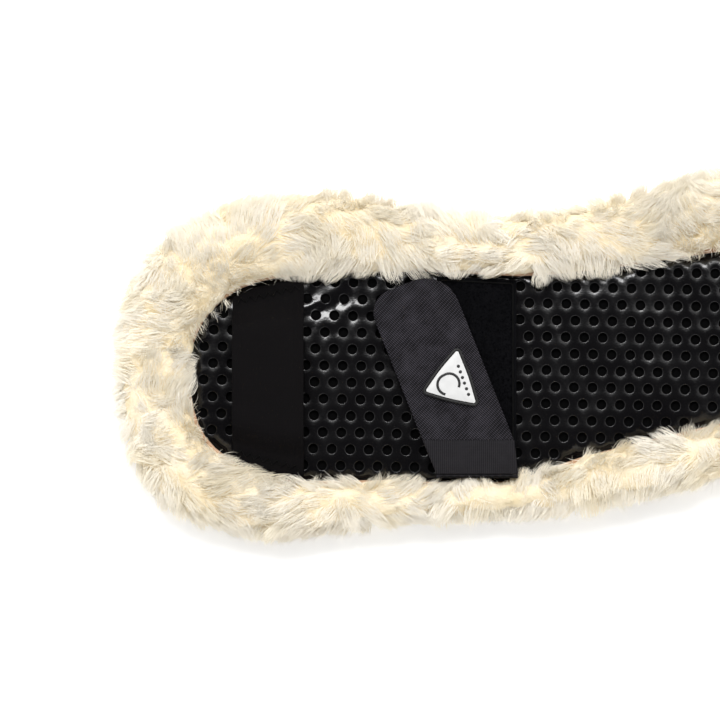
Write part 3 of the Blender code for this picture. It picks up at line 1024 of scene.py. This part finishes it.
def make_cross_strap(name, node, material, ribs, pitch, depth):
    """A strap sewn across the panel, which runs where its CAD node runs."""
    columns, rear, front, places, heights = strap_lines(node)
    low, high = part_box(node)
    middle = (high[0] + low[0]) / 2
    width = high[0] - low[0]
    relief = selvedge(width, ribs, pitch, depth)
    profile = np.array(strap_profile(width, strap_thickness(node), relief))
    xs = middle + profile[:, 0]
    low_y = np.interp(xs, columns, rear)
    high_y = np.interp(xs, columns, front)
    rings = []
    for t in np.linspace(0, 1, STRAP_ROWS):
        z = np.interp(t, places, heights) + profile[:, 1]
        rings.append(np.column_stack((xs, low_y + (high_y - low_y) * t, z)))
    strap = loft(name, rings, material)
    assign(strap, "root", node)
    strap_length(node)


def strap_thickness(node):
    """How thick a strap is at its rear end."""
    verts, _ = node_mesh(node)
    first = verts[np.abs(verts[:, 0] - verts[:, 0].min()) < 1e-5]
    rear_end = first[np.abs(first[:, 1] - first[:, 1].min()) < 1e-5]
    return rear_end[:, 2].max() - rear_end[:, 2].min()


def loft(name, rings, material):
    """A closed body through rings of equal counts, with its two ends filled."""
    mesh_data = bmesh.new()
    lines = [[mesh_data.verts.new(point) for point in ring] for ring in rings]
    for here, after in zip(lines, lines[1:]):
        bridge(mesh_data, here, after)
    mesh_data.faces.new(lines[0])
    mesh_data.faces.new(lines[-1])
    return bmesh_object(name, mesh_data, material)


def strap_length(node):
    """A strap's length along its top, between the mean places of its two ends."""
    _, rear, front, places, heights = strap_lines(node)
    ys = (front.mean() - rear.mean()) * places
    return np.hypot(np.diff(ys), np.diff(heights)).sum()


def make_elastic(label, material):
    """The elastic loop that the girth is pushed through."""
    node = "elastic_loop_" + label
    make_cross_strap(
        "elastic_band_" + label, node, material, ribs=4, pitch=1.3 * MM, depth=0.28 * MM,
    )


def make_loop_tape(label, material, pile):
    """The soft half of the closure: a woven tape with a pile of small loops."""
    node = "loop_tape_" + label
    make_cross_strap(
        "loop_tape_base_" + label, node, material, ribs=2, pitch=1.1 * MM, depth=0.12 * MM,
    )
    make_loop_pile(label, pile)


def make_loop_pile(label, material):
    """Fibres that rise from the loop tape and turn back down to it."""
    node = "loop_tape_" + label
    low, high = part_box(node)
    columns, rear, front, _, _ = strap_lines(node)
    source = np.random.default_rng(41)
    margin = 1.6 * MM
    x = source.uniform(low[0] + margin, high[0] - margin, LOOP_FIBRES)
    rear_y = np.interp(x, columns, rear)
    y = source.uniform(0.005, 0.995, LOOP_FIBRES) * (np.interp(x, columns, front) - rear_y)
    y += rear_y
    roots = np.column_stack((x, y, np.full(LOOP_FIBRES, high[2] - 0.15 * MM)))
    nap = np.stack([smooth_noise(roots, 14 * MM, seed) for seed in (51, 52)], axis=1)
    flow = np.column_stack((nap, np.full(LOOP_FIBRES, 0.35)))
    flow += 0.45 * source.normal(size=(LOOP_FIBRES, 3)) * [1, 1, 0.3]
    flow[:, 2] = np.abs(flow[:, 2])
    flow = unit(flow)
    crest = roots + flow * 0.8 * MM + [0, 0, 0.16 * MM]
    tip = roots + flow * 1.3 * MM - [0, 0, 0.12 * MM]
    paths = np.stack([roots, crest, tip], axis=1)
    paths[:, :, 2] = np.minimum(paths[:, :, 2], high[2] + 0.45 * MM)
    widths = np.full(LOOP_FIBRES, 0.22 * MM)
    one_tone = np.zeros(LOOP_FIBRES)
    strand_meshes("loop_pile_" + label, paths, widths, one_tone, [material], "root")


# ---------------------------------------------------------------- closure flap

def fold_line(label):
    """Y of the fold between the tab and the flap, and of the fold at the tab's sewn end."""
    flap_fold = (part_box("closure_flap_" + label)[0][1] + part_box("flap_tab_" + label)[1][1]) / 2
    tab_fold = (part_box("flap_tab_" + label)[0][1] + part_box("flap_anchor_" + label)[1][1]) / 2
    return flap_fold, tab_fold


def droop(verts, label):
    """How far the flap's outer margin sinks, where no loop tape holds it up."""
    low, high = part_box("loop_tape_" + label)
    edge = max(abs(low[0]), abs(high[0]))
    beyond = np.clip((SIDES[label] * verts[:, 0] - edge - 1 * MM) / (24 * MM), 0, 1)
    return FLAP_DROOP * beyond ** 2 * (3 - 2 * beyond)


def whole_faced(node):
    """A CAD plate as a bmesh, with each flat face in one piece."""
    mesh_data = bmesh_of(welded(node))
    bmesh.ops.dissolve_limit(
        mesh_data, angle_limit=math.radians(1), verts=mesh_data.verts, edges=mesh_data.edges,
    )
    return mesh_data


def outline_edges(mesh_data, folds):
    """The edges of a plate where its flat faces meet its sides, apart from those at a fold."""
    return [
        edge for edge in mesh_data.edges
        if len(edge.link_faces) == 2 and edge.calc_face_angle(0) > math.radians(60)
        and any(abs(face.normal.z) > 0.9 for face in edge.link_faces)
        and not any(all(abs(vert.co.y - fold) < 0.5 * MM for vert in edge.verts) for fold in folds)
    ]


def soft_plate(name, node, label, material, rounding, pitch, rows=()):
    """A copy of a CAD plate with a rounded rim, divided so that it can bend, with its droop."""
    mesh_data = whole_faced(node)
    rim = outline_edges(mesh_data, fold_line(label))
    bmesh.ops.bevel(
        mesh_data, geom=rim, offset=rounding, segments=3, profile=0.5, affect="EDGES",
        clamp_overlap=True,
    )
    piece = bmesh_object(name, mesh_data, material)
    grid_cut(piece, pitch, rows)
    move_verts(piece, lambda verts: verts - droop(verts, label)[:, None] * [0, 0, 1])
    return piece


def plate_area(node):
    """The area of a CAD plate's top face."""
    mesh = welded(node)
    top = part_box(node)[1][2]
    return sum(face.area for face in mesh.polygons if face.normal.z > 0.9 and face.center.z > top - MM)


def flat_size(node):
    """A flap's width across and length along, where it leans: the smallest box turned with it."""
    verts, _ = node_mesh(node)
    sizes = []
    for degrees in range(-40, 41):
        turn = math.radians(degrees)
        across = verts[:, 0] * math.cos(turn) + verts[:, 1] * math.sin(turn)
        along = verts[:, 1] * math.cos(turn) - verts[:, 0] * math.sin(turn)
        sizes.append((np.ptp(across), np.ptp(along)))
    return min(sizes, key=math.prod)


def meet_folds(piece, node, rear, front=None):
    """Draws a plate's rear end, or both its ends, out to the folds that it meets its neighbours at."""
    low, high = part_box(node)

    def lengthened(verts):
        verts[verts[:, 1] < low[1] + 0.05 * MM, 1] = rear
        if front is not None:
            verts[verts[:, 1] > high[1] - 0.05 * MM, 1] = front
        return verts

    move_verts(piece, lengthened)


def lay_flat(node):
    """Works out how big a plate is when it lies flat, and the area of its top, and keeps neither."""
    flat_size(node)
    plate_area(node)


def make_flap(label, twill):
    """The webbing flap, cut into rows beside its fold at the tab, with its rear end drawn out to that
    fold.
    """
    node = "closure_flap_" + label
    fold, _ = fold_line(label)
    rows = [fold + step * FOLD_STEP for step in range(1, 7)]
    flap = soft_plate(
        "flap_webbing_" + label, node, label, twill, rounding=0.8 * MM, pitch=3 * MM, rows=rows,
    )
    meet_folds(flap, node, fold)
    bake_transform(flap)
    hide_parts(node)
    lay_flat(node)


def make_tab(label, material):
    """The elastic tab between the flap and its sewn end, drawn out to the folds at both its ends, with
    rows cut beside the fold at its sewn end.
    """
    node = "flap_tab_" + label
    flap_fold, tab_fold = fold_line(label)
    rows = [tab_fold + step * FOLD_STEP for step in range(1, 6)]
    tab = soft_plate(
        "tab_elastic_" + label, node, label, material, rounding=0.6 * MM, pitch=2.5 * MM, rows=rows,
    )
    meet_folds(tab, node, tab_fold - 0.1 * MM, flap_fold)
    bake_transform(tab)
    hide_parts(node)
    lay_flat(node)


def make_anchor(label, material):
    """The tab's sewn end, turned down behind the edge of the panel."""
    node = "flap_anchor_" + label
    anchor = soft_plate(
        "anchor_elastic_" + label, node, label, material, rounding=0.7 * MM, pitch=2.5 * MM,
    )
    assign(anchor, "root", node)


def make_hook_tape(label, material):
    """The stiff half of the closure: a tape that leaves room for the hooks on its underside."""
    node = "hook_tape_" + label
    tape = soft_plate(
        "hook_tape_base_" + label, node, label, material, rounding=0.3 * MM, pitch=3 * MM,
    )
    low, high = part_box(node)

    def thinned(verts):
        under = low[2] + HOOK_HEIGHT
        share = (verts[:, 2] + droop(verts, label) - low[2]) / (high[2] - low[2])
        verts[:, 2] = under + share * (high[2] - under) - droop(verts, label)
        return verts

    move_verts(tape, thinned)
    assign(tape, "flap_" + label, node)
    lay_flat(node)
    make_hooks(label, material)


def hook_places(node):
    """Where the hooks stand: staggered rows that keep clear of the tape's two sides."""
    low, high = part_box(node)
    surface = surface_of(node)
    edge = 1 * MM
    xs = np.arange(low[0] + edge, high[0] - edge, HOOK_PITCH)
    ys = np.arange(low[1] + edge, high[1] - edge, HOOK_PITCH)

    def on_tape(x, y):
        return surface.ray_cast(Vector((x, y, -1)), Vector((0, 0, 1)))[0] is not None

    places = [(x + 0.5 * HOOK_PITCH * (row % 2), y) for row, y in enumerate(ys) for x in xs]
    return np.array([
        (x, y) for x, y in places if all(on_tape(x + away, y) for away in (0, HOOK_PITCH, -HOOK_PITCH))
    ])


def make_hooks(label, material):
    """Small bent hooks in rows across the underside of the hook tape."""
    node = "hook_tape_" + label
    places = hook_places(node)
    count = len(places)
    lean = np.where(np.arange(count) % 2, 1.0, -1.0)
    root_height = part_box(node)[0][2] + HOOK_HEIGHT + 0.05 * MM
    root = np.column_stack((places, np.full(count, root_height)))
    path = [root]
    # How far a hook leans, in millimetres, and how much of its height it has come down
    for away, share in ((0.05, 0.55), (0.3, 0.95), (0.5, 0.6)):
        step = np.column_stack((0 * lean, away * lean * MM, np.full(count, -share * HOOK_HEIGHT)))
        path.append(root + step)
    path = np.stack(path, axis=1)
    path[:, :, 2] -= droop(root, label)[:, None]
    strand_meshes(
        "hooks_" + label, path, np.full(count, 0.24 * MM), np.zeros(count), [material],
        "flap_" + label,
    )


# ---------------------------------------------------------------- badge

def badge_corners(node):
    """The badge's outline in order, as (x, y), read from its CAD plate's top face."""
    mesh_data = whole_faced(node)
    top = max(mesh_data.faces, key=lambda face: face.calc_center_median().z * (face.normal.z > 0.9))
    outline = np.array([vert.co[:2] for vert in top.verts])
    mesh_data.free()
    return outline


def shrunk(outline, distance):
    """An anticlockwise outline moved inwards."""
    along = unit(np.roll(outline, -1, axis=0) - np.roll(outline, 1, axis=0))
    return outline + np.column_stack((-along[:, 1], along[:, 0])) * distance


def drooped(outline, height, label):
    """A ring of points at one height over the flap, sunk where the flap sinks."""
    ring = np.column_stack((outline, np.full(len(outline), height)))
    ring[:, 2] -= droop(ring, label)
    return ring


def stepped_plate(name, outline, steps, material, label):
    """A plate through rings given as (distance moved in, height), with a wide flat field on top."""
    rings = [drooped(shrunk(outline, distance), height, label) for distance, height in steps]
    middle = outline.mean(axis=0)
    last_distance, last_height = steps[-1]
    field = middle + 0.5 * (shrunk(outline, last_distance) - middle)
    rings.append(drooped(field, last_height, label))
    return loft(name, rings, material)


def make_badge(label, rubber, white):
    """A rubber patch with a raised border round a white field, and a plain horseshoe on it."""
    low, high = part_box("badge_base_" + label)
    outline = badge_corners("badge_base_" + label)
    lip = high[2] + 0.35 * MM
    base = stepped_plate("badge_rubber_" + label, outline, [
        (0.3 * MM, low[2]), (0, low[2] + 0.3 * MM), (0, high[2] - 0.4 * MM),
        (0.15 * MM, high[2] - 0.1 * MM), (0.4 * MM, lip), (1.0 * MM, lip),
        (1.3 * MM, lip - 0.2 * MM), (1.5 * MM, high[2] - 0.1 * MM),
    ], rubber, label)
    low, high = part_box("badge_face_" + label)
    face_outline = badge_corners("badge_face_" + label)
    face = stepped_plate("badge_white_" + label, face_outline, [
        (0, low[2] - 0.35 * MM), (0, high[2] - 0.3 * MM), (0.12 * MM, high[2] - 0.08 * MM),
        (0.35 * MM, high[2]),
    ], white, label)
    assign(base, "flap_" + label, "badge_base_" + label)
    assign(face, "flap_" + label, "badge_face_" + label)
    make_motif(label, rubber, face_outline, high[2])


def ridge(name, points, width, height, material, label):
    """A low rounded line of rubber along points on the badge."""
    points = np.array(points)
    ahead = np.gradient(points, axis=0)
    across = unit(np.column_stack((-ahead[:, 1], ahead[:, 0])))
    turns = 2 * math.pi * np.arange(10) / 10
    rings = []
    for point, sideways in zip(points, across):
        places = point + sideways * np.cos(turns)[:, None] * width / 2
        ring = drooped(places, height, label)
        ring[:, 2] += np.sin(turns) * 0.2 * MM
        rings.append(ring)
    assign(loft(name, rings, material), "flap_" + label)


def make_motif(label, rubber, outline, height):
    """A plain horseshoe, and a row of dots along the side of the badge that faces the middle."""
    centre = outline.mean(axis=0)
    side = SIDES[label]
    toe = math.radians(90 - 28 * side)
    middle = centre + [side * 1.9 * MM, -1.2 * MM]
    shoe = []
    for away in SHOE_SPAN * np.linspace(-0.5, 0.5, SHOE_POINTS):
        reach = SHOE_RADIUS * (1 + 0.10 * abs(math.sin(away)))
        shoe.append(middle + [reach * math.cos(toe + away), reach * math.sin(toe + away)])
    ridge("badge_horseshoe_" + label, shoe, SHOE_WIDTH, height, rubber, label)
    top = outline[outline[:, 1].argmax()]
    foot = outline[(side * outline[:, 0]).argmin()]
    inwards = unit(centre - (top + foot) / 2) * 2.2 * MM
    for step in range(DOTS):
        place = top + (foot - top) * (0.27 + 0.56 * step / (DOTS - 1)) + inwards
        make_dot(f"badge_dot_{label}_{step + 1}", place, height, rubber, label)


def make_dot(name, place, height, material, label):
    """A low round stud."""
    turns = np.linspace(0, 2 * math.pi, 12, endpoint=False)
    circle = np.column_stack((np.cos(turns), np.sin(turns)))
    rings = [
        drooped(place + DOT_RADIUS * reach * circle, height + rise * MM, label)
        for reach, rise in ((1.0, -0.1), (1.0, 0.08), (0.8, 0.18), (0.35, 0.22))
    ]
    assign(loft(name, rings, material), "flap_" + label)


def carry_over(material):
    """The seams stay as the CAD has them, with a thread's material."""
    for name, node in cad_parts.items():
        if "seam" in name or "tack" in name:
            for slot in node.material_slots:
                slot.material = material


# ---------------------------------------------------------------- scene

def area_light(name, place, target, size, power):
    """A white rectangular softbox that faces its target."""
    light = bpy.data.lights.new(name, "AREA")
    light.shape = "RECTANGLE"
    light.size, light.size_y = size
    light.energy = power
    holder = bpy.data.objects.new(name, light)
    bpy.context.scene.collection.objects.link(holder)
    holder.location = place
    holder.rotation_euler = (Vector(target) - Vector(place)).to_track_quat("-Z", "Y").to_euler()


def make_world():
    """White all round and dark overhead, so that gloss seen from above stays black.

    The dark part leans to the rear, so that rims catch the light from the front.
    """
    world = bpy.data.worlds.new("studio")
    bpy.context.scene.world = world
    world.use_nodes = True
    tree = world.node_tree
    direction = add_node(tree, "TexCoord").outputs["Generated"]
    darkest = (0, -math.sin(DARK_LEAN), math.cos(DARK_LEAN))
    closeness = add_node(tree, "VectorMath", {0: direction, 1: darkest}, operation="DOT_PRODUCT")
    color = add_ramp(tree, closeness.outputs["Value"], [
        (math.cos(DARK_EDGE), WORLD_SIDES), (math.cos(DARK_CORE), WORLD_OVERHEAD),
    ])
    background = tree.nodes["Background"]
    background.inputs["Strength"].default_value = 1.0
    tree.links.new(color, background.inputs["Color"])


def make_studio():
    """A white floor, the world round it and two softboxes."""
    mesh_data = bmesh.new()
    bmesh.ops.create_grid(mesh_data, x_segments=1, y_segments=1, size=6)
    floor = bmesh_object("studio_floor", mesh_data, floor_material(), smooth=False)
    floor.location.z = -0.5 * MM
    make_world()
    middle = (-0.2, 0, 0)
    area_light("key_softbox", (-0.28, 0.75, 1.40), middle, (1.1, 0.32), KEY_POWER)
    area_light("fill_softbox", (0.4, -1.3, 1.3), middle, (1.4, 0.7), FILL_POWER)
    bpy.context.scene.view_settings.view_transform = "Standard"


def make_camera():
    """Straight down over the left half, as far away as a portrait lens asks."""
    low, high = cad_box
    view_width = VIEW_SHARE * (high[0] - low[0])
    lens, sensor = 110.0, 36.0
    camera = bpy.data.cameras.new("camera")
    camera.lens = lens
    camera.sensor_width = sensor
    camera.clip_end = 50
    holder = bpy.data.objects.new("camera", camera)
    bpy.context.scene.collection.objects.link(holder)
    x = low[0] - LEFT_MARGIN * view_width + view_width / 2
    holder.location = (x, VIEW_SHIFT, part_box("gel_panel")[1][2] + view_width * lens / sensor)
    bpy.context.scene.camera = holder


def main():
    """The whole scene: studio, wool, gel, and then each side's straps and badge."""
    make_camera()
    make_studio()
    wool = wool_strand_materials()
    locks, leans = make_locks(np.random.default_rng(3))
    make_wool_body(locks)
    make_wool_strands(locks, leans, wool)
    make_lining(wool)
    make_hide_edge()
    make_gel()
    make_backing()
    elastic = weave_material("elastic_weave", (0.0036, 0.0031, 0.0034), 0.9 * MM, 0.7 * MM)
    tape = weave_material("loop_tape_ground", (0.0018, 0.0018, 0.0025), 0.8 * MM, 0.8 * MM)
    pile = Nodes("loop_fibre", (0.0008, 0.0008, 0.0012), 0.95, Specular_IOR_Level=0.02).material
    tab = tab_material()
    hook = rubber_material("hook_nylon", (0.02, 0.02, 0.022), 0.5)
    rubber = rubber_material("badge_black_rubber", (0.006, 0.006, 0.006), 0.5)
    white = rubber_material("badge_white_field", (0.66, 0.66, 0.655), 0.45, 0.02)
    for label in SIDES:
        make_elastic(label, elastic)
        make_loop_tape(label, tape, pile)
        make_anchor(label, tab)
        make_tab(label, tab)
        make_flap(label, twill_material(label))
        make_hook_tape(label, hook)
        make_badge(label, rubber, white)
    carry_over(thread_material())


main()
